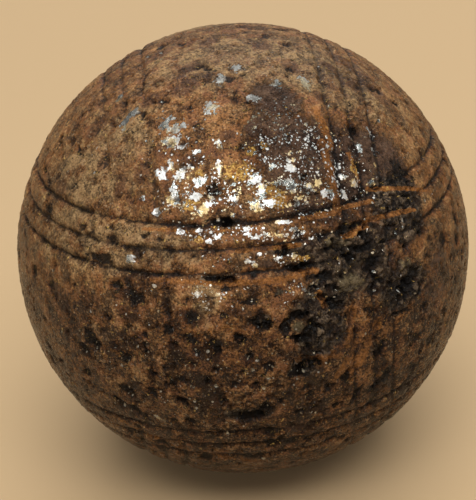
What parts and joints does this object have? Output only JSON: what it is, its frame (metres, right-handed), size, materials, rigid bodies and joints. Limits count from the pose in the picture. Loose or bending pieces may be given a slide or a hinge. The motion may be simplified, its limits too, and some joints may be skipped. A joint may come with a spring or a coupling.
{
  "type": "boule",
  "caption": "Hollow steel throwing ball for bowls played on gravel, welded from two half shells and turned with crossed bands of grooves.",
  "frame": {"origin": "centre of the ball", "axes": "+Z is the axis of the first family of grooves, square to the weld plane; +X is the axis of the second family of grooves; the ball rests on its -Z crown"},
  "size_m": [0.074, 0.074, 0.0738],
  "materials": {
    "rusted_steel": "carbon steel turned smooth, now brown with rust, pitted and crusted, with a few bright flakes",
    "rusted_weld": "weld metal dressed flush with the ball and rusted with it"
  },
  "bodies": {
    "root": {"upper_half_shell": "rusted_steel", "lower_half_shell": "rusted_steel", "seam_weld": "rusted_weld"}
  },
  "joints": []
}
